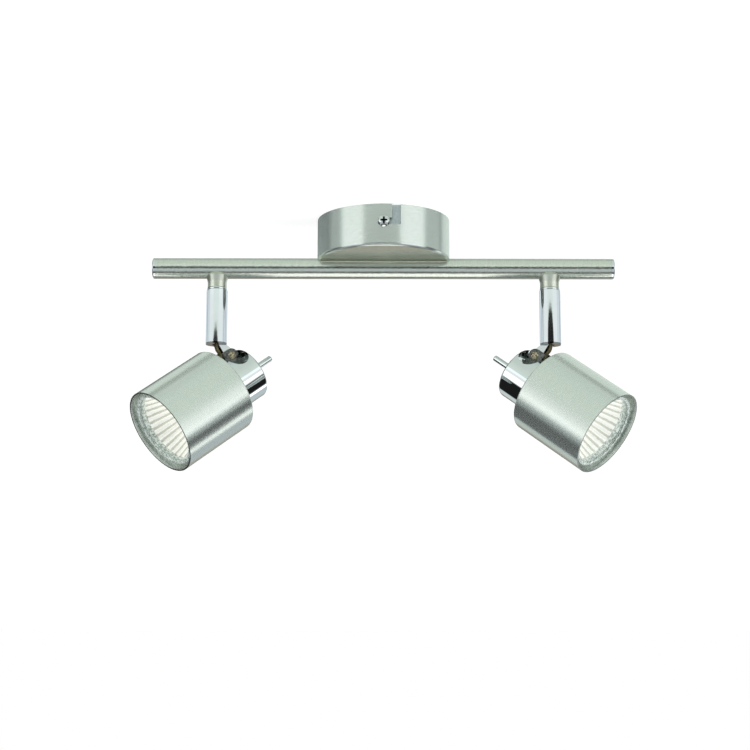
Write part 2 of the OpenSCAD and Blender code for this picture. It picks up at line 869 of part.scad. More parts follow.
mounting_bracket();
canopy();
canopy_screws();
terminal_block();
terminal_screws();
earth_screw();
supply_leads();
earth_lead();
bar_tube();
end_caps();
bar_stud();
bar_nut();
toothed_washer();
stud_bush();
bar_collars();
swivel_studs();
ring_nuts();
pan_stop_pins();
swivel_ring(left);  // left_swivel_ring
swivel_ring(right);  // right_swivel_ring
arm_tube(left);  // left_arm_tube
arm_tube(right);  // right_arm_tube
arm_plug(left);  // left_arm_plug
arm_plug(right);  // right_arm_plug
knuckle(left);  // left_knuckle
knuckle(right);  // right_knuckle
arm_leads(left);  // left_arm_leads
arm_leads(right);  // right_arm_leads
lamp_housing(left);  // left_lamp_housing
lamp_housing(right);  // right_lamp_housing
tilt_fork(left);  // left_tilt_fork
tilt_fork(right);  // right_tilt_fork
shade(left);  // left_shade
shade(right);  // right_shade
shade_ring(left);  // left_shade_ring
shade_ring(right);  // right_shade_ring
handle_rod(left);  // left_handle_rod
handle_rod(right);  // right_handle_rod
pivot_screw(left);  // left_pivot_screw
pivot_screw(right);  // right_pivot_screw
pivot_nut(left);  // left_pivot_nut
pivot_nut(right);  // right_pivot_nut
lampholder(left);  // left_lampholder
lampholder(right);  // right_lampholder
holder_contacts(left);  // left_holder_contacts
holder_contacts(right);  // right_holder_contacts
holder_screws(left);  // left_holder_screws
holder_screws(right);  // right_holder_screws
head_leads(left);  // left_head_leads
head_leads(right);  // right_head_leads
lamp_base(left);  // left_lamp_base
lamp_base(right);  // right_lamp_base
lamp_pins(left);  // left_lamp_pins
lamp_pins(right);  // right_lamp_pins
lamp_reflector(left);  // left_lamp_reflector
lamp_reflector(right);  // right_lamp_reflector
lamp_lens(left);  // left_lamp_lens
lamp_lens(right);  // right_lamp_lens
lamp_capsule(left);  // left_lamp_capsule
lamp_capsule(right);  // right_lamp_capsule
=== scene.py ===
"""Looks of the two-spot ceiling bar light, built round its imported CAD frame."""

import json
import math
import bpy
from mathutils import Matrix, Vector


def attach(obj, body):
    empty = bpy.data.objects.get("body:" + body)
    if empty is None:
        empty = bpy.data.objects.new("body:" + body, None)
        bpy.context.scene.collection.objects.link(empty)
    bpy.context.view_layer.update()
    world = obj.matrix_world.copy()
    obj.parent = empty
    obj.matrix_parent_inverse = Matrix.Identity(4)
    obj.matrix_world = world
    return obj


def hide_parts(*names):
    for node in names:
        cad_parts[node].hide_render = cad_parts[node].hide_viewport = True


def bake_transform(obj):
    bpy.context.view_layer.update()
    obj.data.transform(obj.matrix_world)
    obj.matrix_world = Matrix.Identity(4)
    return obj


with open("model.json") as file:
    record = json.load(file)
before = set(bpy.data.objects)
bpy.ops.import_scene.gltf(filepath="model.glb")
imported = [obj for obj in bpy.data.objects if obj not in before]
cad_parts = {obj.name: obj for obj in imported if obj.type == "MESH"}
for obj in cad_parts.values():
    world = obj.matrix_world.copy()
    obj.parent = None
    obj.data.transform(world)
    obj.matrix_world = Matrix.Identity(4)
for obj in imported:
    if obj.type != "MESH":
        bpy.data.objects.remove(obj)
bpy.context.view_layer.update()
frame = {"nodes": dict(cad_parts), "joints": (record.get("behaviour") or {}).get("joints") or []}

MM = 0.001
SIDES = ("left", "right")
NODES = frame["nodes"]
JOINTS = {joint["name"]: joint for joint in frame["joints"]}
SCENE = bpy.context.scene

# Sizes of the CAD pieces that the detailed pieces follow, in millimetres
ARM_X = 108.0
HEAD_DROP = 16.3
BASE_BACK = 19.4
BASE_LENGTH = 12.0
BOWL_BACK = BASE_BACK + BASE_LENGTH + 0.05
BOWL_FRONT = 62.0
BOWL_RADIUS = 25.3
BOWL_WALL = 1.6
BOWL_VERTEX = 26
RIM_LENGTH = 3.2
LENS_BACK = BOWL_FRONT + RIM_LENGTH + 0.05
LENS_THICK = 2.0
CAPSULE_RADIUS = 4.6
CAPSULE_BACK = BASE_BACK + BASE_LENGTH - 2.8
CAPSULE_TIP = CAPSULE_BACK + 22.0
BAR_Z = -31.65
SCREW_DROP = 11.1
RING_TOP = -44.8
RING_THICK = 1.6
RING_RADIUS = 6.5
RING_BORE = 4.06
FLUTES = 32
FLUTE_DEPTH = 0.034  # of the bowl's radius
SHADE_INSIDE = 27.9
SHADE_FRONT = 70.0
PANE_RADIUS = 22.5
SLEEVE_Y = 0.95
SLEEVE_RADIUS = 0.9
PVC_RADIUS = 0.75
PIN_ORBIT = 5.0
STUD_TOP = -15.5
STUD_END = -58.5
POLE_PITCH = 6.5
POLE_Z = -5.5
BLOCK_X = 13.5


# ---- Frames of the moving parts, in metres ----


def axes_matrix(x, y, z, origin):
    """Matrix whose columns are the three axes and the origin."""
    m = Matrix.Identity(4)
    for column, vector in enumerate((x, y, z, origin)):
        for row in range(3):
            m[row][column] = vector[row]
    return m


def head_matrix(side):
    """Origin at the tilt pivot, X along the lamp's axis, Y along the pivot."""
    x = Vector(JOINTS[side + "_lamp_twist"]["axis"]).normalized()
    y = Vector(JOINTS[side + "_tilt"]["axis"]).normalized()
    return axes_matrix(x, y, x.cross(y), Vector(JOINTS[side + "_tilt"]["pos_m"]))


def arm_matrix(side):
    """Origin at the tilt pivot, X level towards the head's front, Z up."""
    y = Vector(JOINTS[side + "_tilt"]["axis"]).normalized()
    z = Vector((0, 0, 1))
    return axes_matrix(y.cross(z), y, z, Vector(JOINTS[side + "_tilt"]["pos_m"]))


def lamp_matrix(side):
    """Z along the lamp's axis to the front, X down; Z = 0 is level with the pivot."""
    turn = Matrix.Translation((0, 0, -HEAD_DROP * MM)) @ Matrix.Rotation(math.pi / 2, 4, "Y")
    return head_matrix(side) @ turn


# ---- Camera, world and stage ----

CAMERA_AT = Vector((-5.4, -1029, -286.5)) * MM
CAMERA_PITCH = 10.17
CAMERA_ROLL = 0.09
CAMERA_LENS = 77.95
FLOOR_Z, CEILING_Z = -0.95, 0.0002


def make_camera():
    data = bpy.data.cameras.new("camera")
    data.lens = CAMERA_LENS
    data.sensor_width = 36
    data.clip_start, data.clip_end = 0.05, 50
    camera = bpy.data.objects.new("camera", data)
    SCENE.collection.objects.link(camera)
    camera.matrix_world = (
        Matrix.Translation(CAMERA_AT)
        @ Matrix.Rotation(math.radians(90 + CAMERA_PITCH), 4, "X")
        @ Matrix.Rotation(math.radians(CAMERA_ROLL), 4, "Z")
    )
    SCENE.camera = camera


class Tree:
    """Short calls that add nodes to a node tree and link them."""

    def __init__(self, tree):
        self.tree = tree
        tree.nodes.clear()

    def add(self, kind, inputs=None, **settings):
        node = self.tree.nodes.new("ShaderNode" + kind)
        for name, value in settings.items():
            setattr(node, name, value)
        for name, value in (inputs or {}).items():
            self.feed(node.inputs[name], value)
        return node

    def feed(self, socket, value):
        if isinstance(value, bpy.types.NodeSocket):
            self.tree.links.new(value, socket)
        elif socket.type == "RGBA" and len(value) == 3:
            socket.default_value = (*value, 1)
        else:
            socket.default_value = value

    def math(self, operation, *values):
        node = self.add("Math", operation=operation)
        for socket, value in zip(node.inputs, values):
            self.feed(socket, value)
        return node.outputs[0]

    def vector(self, operation, *values):
        node = self.add("VectorMath", operation=operation)
        for socket, value in zip(node.inputs, values):
            self.feed(socket, value)
        return node.outputs["Value" if operation in ("DOT_PRODUCT", "LENGTH") else "Vector"]

    def scale(self, vector, factor):
        scaled = self.vector("SCALE", vector)
        self.feed(scaled.node.inputs["Scale"], factor)
        return scaled

    def split(self, vector):
        """The X, Y and Z outputs of a vector."""
        return self.add("SeparateXYZ", {"Vector": vector}).outputs

    def step(self, value, low, high, out_low=0.0, out_high=1.0):
        """Smooth step of value from low to high."""
        ends = {"From Min": low, "From Max": high, "To Min": out_low, "To Max": out_high}
        node = self.add("MapRange", {"Value": value, **ends}, interpolation_type="SMOOTHSTEP")
        return node.outputs[0]

    def between(self, value, low, high, softness):
        """1 where value lies from low to high, falling to 0 over the softness at each end."""
        half = softness / 2
        return self.math(
            "MULTIPLY",
            self.step(value, low - half, low + half),
            self.step(value, high - half, high + half, 1.0, 0.0),
        )

    def mix(self, factor, a, b):
        node = self.add("Mix", data_type="RGBA")
        colours = [s for s in node.inputs if s.type == "RGBA"]
        self.feed(node.inputs["Factor"], factor)
        self.feed(colours[0], a)
        self.feed(colours[1], b)
        return [s for s in node.outputs if s.type == "RGBA"][0]

    def mix_shaders(self, factor, a, b):
        node = self.add("MixShader", {"Fac": factor})
        self.feed(node.inputs[1], a.outputs[0])
        self.feed(node.inputs[2], b.outputs[0])
        return node

    def add_shaders(self, a, b):
        node = self.add("AddShader")
        self.feed(node.inputs[0], a.outputs[0])
        self.feed(node.inputs[1], b.outputs[0])
        return node

    def ramp(self, value, stops):
        """Colour ramp; stops are (position, grey or colour)."""
        node = self.add("ValToRGB", {"Fac": value})
        elements = node.color_ramp.elements
        while len(elements) < len(stops):
            elements.new(0.5)
        for element, (position, colour) in zip(elements, stops):
            element.position = position
            element.color = (*colour, 1) if isinstance(colour, tuple) else (colour,) * 3 + (1,)
        return node.outputs["Color"]


# The studio as a metal surface sees it. Angles in degrees: height above the horizon, and
# bearing from the front (-Y) towards +X.
SKY_RAMP = (
    (-90, (1.45, 1.45, 1.42)), (-70, (1.45, 1.45, 1.42)), (-65, (0.12, 0.12, 0.11)),
    (-48, (0.12, 0.12, 0.11)), (-43, (0.46, 0.52, 0.56)), (-20, (0.60, 0.66, 0.68)),
    (-9, (0.50, 0.54, 0.54)), (-6, (0.10, 0.11, 0.10)), (4, (0.10, 0.11, 0.10)),
    (8, (0.84, 0.92, 0.86)), (14, (0.90, 0.98, 0.93)), (22, (0.80, 0.88, 0.81)),
    (50, (0.68, 0.76, 0.68)), (78, (0.66, 0.74, 0.68)), (90, (0.52, 0.58, 0.52)),
)
SKY_TOP = 1.45  # the brightest colour in SKY_RAMP; a ramp holds no more than 1
# (bearing from, to, softness; height from, to, softness; colour), laid over one another
PANELS = (
    (-190, -100, 20, -6, 42, 10, (0.10, 0.12, 0.11)),
    (-100, -80, 8, 2, 40, 10, (0.40, 0.44, 0.41)),
    (78, 128, 8, 2, 40, 10, (0.50, 0.56, 0.52)),
    (128, 190, 12, -4, 40, 10, (0.78, 0.86, 0.80)),
    (-190, -125, 16, 34, 58, 10, (0.74, 0.82, 0.76)),
    (125, 190, 16, 34, 58, 10, (0.74, 0.82, 0.76)),
    (-190, -165, 8, 40, 88, 6, (0.42, 0.46, 0.42)),
    (165, 190, 8, 40, 88, 6, (0.42, 0.46, 0.42)),
    (-154, -112, 12, 62, 77, 8, (0.20, 0.22, 0.20)),
    (112, 154, 12, 62, 77, 8, (0.20, 0.22, 0.20)),
    (-76, -34, 6, -9, 8, 4, (1.60, 1.61, 1.60)),
    (28, 74, 6, -9, 8, 4, (1.62, 1.63, 1.62)),
    (-76, -34, 6, 8, 14, 2, (0.96, 1.00, 0.98)),
    (28, 74, 6, 8, 14, 2, (0.96, 1.00, 0.98)),
    (-76, -34, 6, 14, 22, 2, (1.20, 1.24, 1.22)),
    (28, 74, 6, 14, 22, 2, (1.22, 1.26, 1.24)),
    (-138, -76, 5, -36, -9, 4, (0.014, 0.014, 0.014)),
    (78, 112, 5, -34, -9, 4, (0.014, 0.014, 0.014)),
    (115, 127, 4, -34, -14, 5, (1.90, 1.90, 1.85)),
    (-165, -141, 6, -36, -14, 5, (0.70, 0.76, 0.72)),
    (-165, -76, 4, 10.6, 13.8, 0.8, (0.78, 0.85, 0.88)),
    (74, 165, 4, 10.6, 13.8, 0.8, (0.78, 0.85, 0.88)),
    (-115, -110, 3, 2, 30, 4, (0.24, 0.26, 0.25)),
    (114, 119, 3, 2, 30, 4, (0.24, 0.26, 0.25)),
    (-190, -165, 8, -34, -6, 6, (0.42, 0.38, 0.32)),
    (165, 190, 8, -34, -6, 6, (0.42, 0.38, 0.32)),
)
STAND_BEARING, STAND_TIP, STAND_FLARE = -3.0, 12.55, 0.000033


def make_world():
    world = bpy.data.worlds.new("studio")
    world.use_nodes = True
    SCENE.world = world
    t = Tree(world.node_tree)
    direction = t.add("TexCoord").outputs["Generated"]
    xyz = t.split(direction)
    degrees = 180 / math.pi
    height = t.math("MULTIPLY", t.math("ARCSINE", xyz["Z"]), degrees)
    bearing = t.math(
        "MULTIPLY", t.math("ARCTAN2", xyz["X"], t.math("MULTIPLY", xyz["Y"], -1.0)), degrees
    )
    share = t.math("MULTIPLY_ADD", height, 1 / 180, 0.5)
    stops = [((h + 90) / 180, tuple(c / SKY_TOP for c in colour)) for h, colour in SKY_RAMP]
    light = t.scale(t.ramp(share, stops), SKY_TOP)
    for west, east, soft_b, low, high, soft_h, colour in PANELS:
        inside = t.math(
            "MULTIPLY",
            t.between(bearing, west, east, soft_b),
            t.between(height, low, high, soft_h),
        )
        light = t.mix(inside, light, colour)
    # A dark stand in front, with a pointed top
    off = t.math("ABSOLUTE", t.math("SUBTRACT", bearing, STAND_BEARING))
    below = t.math("SUBTRACT", height, STAND_TIP)
    edge = t.math("MULTIPLY_ADD", t.math("POWER", off, 3.0), STAND_FLARE, below)
    sides = t.math("MULTIPLY", t.step(off, 28, 36, 1.0, 0.0), t.step(height, -14, -8))
    dark = t.math("MULTIPLY", t.step(edge, -0.12, 0.12, 1.0, 0.0), sides)
    light = t.mix(dark, light, (0.02, 0.02, 0.02))
    lit = t.add("Background", {"Color": light, "Strength": 1.0})
    seen = t.add("Background", {"Color": (1.0, 1.0, 1.0), "Strength": 1.0})
    choice = t.mix_shaders(t.add("LightPath").outputs["Is Camera Ray"], lit, seen)
    t.add("OutputWorld", {"Surface": choice.outputs[0]})


def new_material(name):
    material = bpy.data.materials.new(name)
    material.use_nodes = True
    return material, Tree(material.node_tree)


def plane(name, half, z, flip=False):
    corners = [(-half, -half, z), (half, -half, z), (half, half, z), (-half, half, z)]
    mesh = bpy.data.meshes.new(name)
    mesh.from_pydata(corners, [], [(3, 2, 1, 0) if flip else (0, 1, 2, 3)])
    thing = bpy.data.objects.new(name, mesh)
    SCENE.collection.objects.link(thing)
    return thing


def make_stage():
    """A pale floor far below, and the ceiling's white face, which shows only from below."""
    floor = plane("floor", 3.0, FLOOR_Z)
    material, t = new_material("floor")
    shade = t.add("BsdfPrincipled", {"Base Color": (0.86, 0.86, 0.85), "Roughness": 0.9})
    glow = t.add("Emission", {"Color": (1.0, 1.0, 0.99), "Strength": 0.45})
    t.add("OutputMaterial", {"Surface": t.add_shaders(shade, glow).outputs[0]})
    floor.data.materials.append(material)
    floor.visible_glossy = floor.visible_diffuse = floor.visible_transmission = False

    ceiling = plane("ceiling", 12.0, CEILING_Z, flip=True)
    material, t = new_material("ceiling")
    shade = t.add("BsdfDiffuse", {"Color": (0.62, 0.62, 0.62)})
    glow = t.add("Emission", {"Color": (1.0, 0.985, 0.99), "Strength": 0.75})
    back = t.add("NewGeometry").outputs["Backfacing"]
    choice = t.mix_shaders(back, t.add_shaders(shade, glow), t.add("BsdfTransparent"))
    t.add("OutputMaterial", {"Surface": choice.outputs[0]})
    ceiling.data.materials.append(material)
    for kind in ("glossy", "diffuse", "transmission", "shadow"):
        setattr(ceiling, "visible_" + kind, False)


def area_light(name, at, target, size, power):
    data = bpy.data.lights.new(name, "AREA")
    data.shape = "RECTANGLE"
    data.size, data.size_y = size
    data.energy = power
    lamp = bpy.data.objects.new(name, data)
    SCENE.collection.objects.link(lamp)
    at, target = Vector(at), Vector(target)
    turn = (target - at).to_track_quat("-Z", "Y").to_matrix().to_4x4()
    lamp.matrix_world = Matrix.Translation(at) @ turn
    lamp.visible_glossy = False


# ---- Materials ----


def local_point(t, matrix):
    """The shaded point in a piece's own frame, in millimetres, the same in every pose."""
    inverse = matrix.inverted()
    mapping = t.add(
        "Mapping",
        {
            "Vector": t.add("TexCoord").outputs["Object"],
            "Location": inverse.to_translation() / MM,
            "Rotation": inverse.to_euler(),
            "Scale": (1 / MM,) * 3,
        },
        vector_type="POINT",
    )
    return mapping.outputs[0]


def object_point(t):
    """The shaded point in the object's frame, in millimetres."""
    return t.scale(t.add("TexCoord").outputs["Object"], 1 / MM)


def from_axis(t, xyz):
    """Distance from the Z axis."""
    return t.vector("LENGTH", t.add("CombineXYZ", {"X": xyz["X"], "Y": xyz["Y"]}).outputs[0])


def dimmed(colour, factor):
    return tuple(c * factor for c in colour)


def groove_direction(t, matrix, point):
    """World direction of the brushing, which runs round the piece's Z axis on every face."""
    xyz = t.split(point)
    local = t.add("CombineXYZ", {"X": t.math("MULTIPLY", xyz["Y"], -1.0), "Y": xyz["X"]})
    turned = t.add(
        "Mapping",
        {"Vector": local.outputs[0], "Rotation": matrix.to_euler()},
        vector_type="VECTOR",
    )
    groove = t.add(
        "VectorTransform",
        {"Vector": turned.outputs[0]},
        vector_type="VECTOR",
        convert_from="OBJECT",
        convert_to="WORLD",
    )
    return t.vector("NORMALIZE", groove.outputs[0])


def noise(t, vector, scale, detail=2.0, roughness=0.5):
    return t.add(
        "TexNoise",
        {"Vector": vector, "Scale": scale, "Detail": detail, "Roughness": roughness},
    ).outputs["Fac"]


def bump(t, height, strength, distance=0.0001):
    return t.add(
        "Bump", {"Strength": strength, "Distance": distance, "Height": height}
    ).outputs[0]


def finish_principled(t, **inputs):
    shader = t.add("BsdfPrincipled", inputs)
    t.add("OutputMaterial", {"Surface": shader.outputs[0]})
    return shader


def satin(
    name,
    matrix,
    base,
    roughness=0.25,
    speckle=0.2,
    spots=0.3,
    spread=0.75,
    cross=0.35,
    inside=None,
    end=None,
    underside_reflection=None,
    lean=0.0,
    fade=-0.6,
):
    """Satin nickel, brushed round the Z axis of the piece's frame.

    speckle is the height of its specks, spots their darkness and cross how fine they are round
    the piece; spread is how far the brushing spreads its highlights. The metal is plain within
    the radius inside, and darker past the height end, a painted shade on the end face. Faces
    that look down take the given colour, a painted reflection of what lies below them. lean tips
    the normals of faces that look level or down up along the brushing, in radians, and fades out
    where the upward part of the normal passes fade.
    """
    material, t = new_material(name)
    point = local_point(t, matrix)
    xyz = t.split(point)
    radius = from_axis(t, xyz)
    along = t.math("ADD", xyz["Z"], radius)

    def stretched(around, across):
        parts = {
            "X": t.math("MULTIPLY", xyz["X"], around),
            "Y": t.math("MULTIPLY", xyz["Y"], around),
            "Z": t.math("MULTIPLY", along, across),
        }
        return t.add("CombineXYZ", parts).outputs[0]

    fine = noise(t, stretched(0.25, 2.6), 1.0, 3.0, 0.6)
    speck = noise(t, stretched(cross, 1.7), 1.0, 2.0, 0.55)
    cloud = noise(t, point, 0.05, 2.0, 0.5)
    light = tuple(min(1, c * 1.045) for c in base)
    warm = (base[0] * 0.97, base[1] * 1.01, base[2] * 0.96)
    colour = t.mix(t.step(fine, 0.30, 0.70), dimmed(base, 0.95), light)
    colour = t.mix(t.step(cloud, 0.35, 0.75, 0.0, 0.25), colour, warm)
    colour = t.mix(t.step(speck, 0.38, 0.62, 0.0, 0.4 * spots), colour, dimmed(base, 0.72))
    if inside:
        colour = t.mix(t.step(radius, inside - 0.1, inside + 0.1, 1.0, 0.0), colour, base)
    # Painted shade: the end face past the height end is darkened.
    if end:
        colour = t.mix(t.step(xyz["Z"], end - 0.12, end - 0.02), colour, dimmed(base, 0.35))
    flat = t.add("NewGeometry").outputs["Normal"]
    slope = t.split(flat)["Z"]
    # Painted reflection: faces that look down take a lighter, warmer colour for the bar and floor
    # they face.
    if underside_reflection:
        colour = t.mix(t.step(slope, -0.97, -0.75, 1.0, 0.0), colour, underside_reflection)
    relief = t.math("MULTIPLY_ADD", speck, speckle, t.math("MULTIPLY", fine, 0.06))
    normal = bump(t, relief, 1.0)
    groove = groove_direction(t, matrix, point)
    if lean:
        level = t.step(slope, -0.10, 0.35, lean, 0.0)
        low = t.math("MULTIPLY", level, t.step(slope, fade - 0.1, fade + 0.1))
        tip = t.scale(groove, t.math("MULTIPLY", t.split(groove)["Z"], low))
        normal = t.vector("NORMALIZE", t.vector("ADD", normal, tip))
    shader = finish_principled(
        t,
        **{
            "Base Color": colour,
            "Metallic": 0.85,
            "Roughness": t.math("MULTIPLY_ADD", fine, 0.05, roughness - 0.025),
            "Anisotropic": spread,
            "Normal": normal,
        },
    )
    across = t.vector("NORMALIZE", t.vector("CROSS_PRODUCT", flat, groove))
    t.feed(shader.inputs["Tangent"], across)
    return material


def chrome(name, base=(0.76, 0.80, 0.82), roughness=0.035, lean=0.0):
    """Polished chrome plate with faint haze. lean tips the surface up, in radians."""
    material, t = new_material(name)
    haze = noise(t, object_point(t), 0.12, 3.0, 0.55)
    colour = t.mix(t.step(haze, 0.3, 0.7), dimmed(base, 0.97), base)
    rough = t.math("MULTIPLY_ADD", haze, 0.03, roughness - 0.015)
    normal = bump(t, haze, 0.04)
    if lean:
        normal = t.vector("NORMALIZE", t.vector("ADD", normal, (0.0, 0.0, lean)))
    metal = {"Base Color": colour, "Metallic": 1.0, "Roughness": rough, "Normal": normal}
    finish_principled(t, **metal)
    return material


def recessed_chrome(name):
    """Chrome of the canopy's screws, with painted shade in their cross recesses."""
    material, t = new_material(name)
    xyz = t.split(t.add("TexCoord").outputs["Object"])
    x = t.math("MULTIPLY", xyz["X"], 1 / MM)
    z = t.math("MULTIPLY_ADD", xyz["Z"], 1 / MM, SCREW_DROP)
    spot = t.add("CombineXYZ", {"X": x, "Z": z}).outputs[0]
    off = t.vector("LENGTH", spot)
    arm = t.math("MINIMUM", t.math("ABSOLUTE", x), t.math("ABSOLUTE", z))
    narrow, short = t.step(arm, 0.50, 0.75, 1.0, 0.0), t.step(off, 2.0, 2.5, 1.0, 0.0)
    recess_shade = t.math("MULTIPLY", narrow, short)
    wear = noise(t, spot, 1.1, 2.0, 0.5)
    colour = t.mix(t.step(wear, 0.3, 0.7), (0.70, 0.74, 0.74), (0.78, 0.81, 0.81))
    # Painted shade: the cross recesses are coloured near black.
    colour = t.mix(recess_shade, colour, (0.02, 0.02, 0.02))
    rough = t.math("MULTIPLY_ADD", recess_shade, 0.5, t.math("MULTIPLY_ADD", wear, 0.05, 0.14))
    finish_principled(t, **{"Base Color": colour, "Metallic": 1.0, "Roughness": rough})
    return material


def plated(name, base, roughness, spots=0.25, scale=0.6):
    """Zinc plate, brass or nickel contacts: a duller metal with mottled crystals."""
    material, t = new_material(name)
    point = object_point(t)
    mottle = noise(t, point, scale, 4.0, 0.6)
    cells = t.add("TexVoronoi", {"Vector": point, "Scale": scale * 1.7}).outputs["Distance"]
    tone = t.math("MULTIPLY_ADD", cells, 0.35, mottle)
    colour = t.mix(t.step(tone, 0.35, 0.95), dimmed(base, 1 - spots), base)
    rough = t.math("MULTIPLY_ADD", mottle, 0.22, roughness - 0.11)
    normal = bump(t, mottle, 0.12)
    metal = {"Base Color": colour, "Metallic": 1.0, "Roughness": rough, "Normal": normal}
    finish_principled(t, **metal)
    return material


def dielectric(name, base, roughness, spots=0.08, scale=0.5, relief=0.15, speck=None):
    """Moulded plastic, ceramic or sleeve: a plain body with fine grain."""
    material, t = new_material(name)
    point = object_point(t)
    broad = noise(t, point, scale * 0.2, 2.0, 0.5)
    fine = noise(t, point, scale * 4, 3.0, 0.6)
    colour = t.mix(t.step(broad, 0.3, 0.7), dimmed(base, 1 - spots), base)
    if speck is not None:
        colour = t.mix(t.step(fine, 0.62, 0.70), colour, speck)
    rough = t.math("MULTIPLY_ADD", fine, 0.15, roughness - 0.07)
    normal = bump(t, fine, relief)
    finish_principled(t, **{"Base Color": colour, "Roughness": rough, "Normal": normal})
    return material


def two_tone(name, first, second):
    """PVC sleeves of a pair of leads: one colour in front of the middle plane, one behind."""
    material, t = new_material(name)
    point = t.add("TexCoord").outputs["Object"]
    fine = noise(t, point, 2500.0, 2.0, 0.5)
    colour = t.mix(t.math("GREATER_THAN", t.split(point)["Y"], 0.0), first, second)
    colour = t.mix(t.math("MULTIPLY", fine, 0.2), colour, (0.02, 0.02, 0.02))
    rough = t.math("MULTIPLY_ADD", fine, 0.2, 0.35)
    finish_principled(t, **{"Base Color": colour, "Roughness": rough})
    return material


def clear_glass(name, matrix):
    """Pressed clear glass that passes the light behind it unbent, with a frosted, moulded rim.

    On the rim's green glass tone are a painted highlight ring, a painted shaded ring, painted
    glints and a faint painted glow.
    """
    material, t = new_material(name)
    point = local_point(t, matrix)
    radius = from_axis(t, t.split(point))
    normal = bump(t, noise(t, point, 0.25, 2.0, 0.5), 0.10, 0.0002)
    fresnel = t.add("Fresnel", {"IOR": 1.5, "Normal": normal}).outputs[0]
    glossy = t.add("BsdfGlossy", {"Color": (1, 1, 1), "Roughness": 0.03, "Normal": normal})
    clear = t.add("BsdfTransparent", {"Color": (0.97, 0.985, 0.98)})
    outside = t.math("SUBTRACT", 1.0, t.add("NewGeometry").outputs["Backfacing"])
    pane = t.mix_shaders(t.math("MULTIPLY", fresnel, outside), clear, glossy)
    # Rim colours: green is the glass tone, bright a painted highlight ring, dark a painted shaded
    # ring.
    green, bright, dark = (0.62, 0.70, 0.65), (0.96, 0.97, 0.95), (0.08, 0.10, 0.09)
    rim_width = 2.7
    across = t.ramp(
        t.math("MULTIPLY_ADD", radius, 1 / rim_width, -PANE_RADIUS / rim_width),
        [
            (0.0, (0.80, 0.85, 0.81)), (0.25, green), (0.50, (0.76, 0.82, 0.78)),
            (0.60, (0.42, 0.50, 0.46)), (0.70, green), (0.76, bright), (0.88, bright),
            (0.92, dark), (1.0, dark),
        ],
    )
    # Dark specks, and painted glints over the rim.
    speckle_and_glints = noise(t, point, 0.8, 3.0, 0.7)
    colour = t.mix(t.step(speckle_and_glints, 0.40, 0.48, 1.0, 0.0), across, (0.26, 0.34, 0.30))
    colour = t.mix(t.step(speckle_and_glints, 0.54, 0.60), colour, (0.95, 0.97, 0.95))
    # The rim's faint emission is a painted glow.
    rim = t.add(
        "BsdfPrincipled",
        {
            "Base Color": colour,
            "Roughness": t.math("MULTIPLY_ADD", speckle_and_glints, 0.2, 0.1),
            "Normal": normal,
            "Emission Color": colour,
            "Emission Strength": 0.12,
        },
    )
    whole = t.mix_shaders(t.step(radius, PANE_RADIUS, PANE_RADIUS + 0.5), pane, rim)
    t.add("OutputMaterial", {"Surface": whole.outputs[0]})
    return material


def mirror_bowl(name, matrix, flutes):
    """Aluminised inside of the lamp's glass bowl, with a painted glow for the capsule's light,
    duller at the flute edges.
    """
    material, t = new_material(name)
    point = local_point(t, matrix)
    xyz = t.split(point)
    dimple = noise(t, point, 0.7, 3.0, 0.6)
    turn = t.math("ARCTAN2", xyz["Y"], xyz["X"])
    wave = t.math("ABSOLUTE", t.math("SINE", t.math("MULTIPLY", turn, flutes / 2)))
    ragged = t.math("MULTIPLY_ADD", dimple, 0.5, t.math("SUBTRACT", wave, 0.25))
    valley = t.step(ragged, 0.42, 0.72, 1.0, 0.0)
    rim = t.step(xyz["Z"], BOWL_FRONT - 0.7, BOWL_FRONT - 0.1)
    patch = t.step(noise(t, point, 0.22, 1.0, 0.5), 0.40, 0.60)
    deep = t.math("MULTIPLY", t.step(xyz["Z"], 40.0, 50.0, 1.0, 0.0), patch)
    colour = t.mix(t.step(dimple, 0.3, 0.7), (0.38, 0.38, 0.36), (0.44, 0.44, 0.42))
    # Painted glow: the emission stands in for the capsule's light; it is dimmer along the flute
    # edges, in patches deep in the bowl, and speckled dark and green at the rim.
    light = t.mix(valley, (1.0, 0.975, 0.92), (0.52, 0.51, 0.43))
    light = t.mix(t.math("MULTIPLY", deep, 0.6), light, (0.46, 0.44, 0.36))
    speckle_and_glints = noise(t, point, 0.7, 3.0, 0.7)
    painted_rim_band = t.mix(t.step(speckle_and_glints, 0.42, 0.58), (0.12, 0.17, 0.15), (0.62, 0.68, 0.63))
    light = t.mix(rim, light, painted_rim_band)
    near = t.step(xyz["Z"], BOWL_BACK, BOWL_FRONT, 1.0, 0.0)
    finish_principled(
        t,
        **{
            "Base Color": colour,
            "Metallic": 1.0,
            "Roughness": t.math("MULTIPLY_ADD", dimple, 0.15, 0.15),
            "Normal": bump(t, dimple, 0.10, 0.0002),
            "Emission Color": light,
            "Emission Strength": t.math("MULTIPLY_ADD", near, 0.10, 0.80),
        },
    )
    return material


def glowing(name, base, light, strength):
    """Frosted quartz lit from inside."""
    material, t = new_material(name)
    frost = noise(t, object_point(t), 1.2, 3.0, 0.6)
    colour = t.mix(frost, dimmed(base, 0.9), base)
    finish_principled(
        t,
        **{
            "Base Color": colour,
            "Roughness": t.math("MULTIPLY_ADD", frost, 0.2, 0.25),
            "Normal": bump(t, frost, 0.2, 0.0002),
            "Emission Color": light,
            "Emission Strength": t.math("MULTIPLY_ADD", frost, 0.3, strength),
        },
    )
    return material


def paint(material, *names):
    for name in names:
        thing = NODES[name]
        if not thing.material_slots:
            thing.data.materials.append(material)
        for slot in thing.material_slots:
            slot.material = material


# ---- Detailed pieces ----


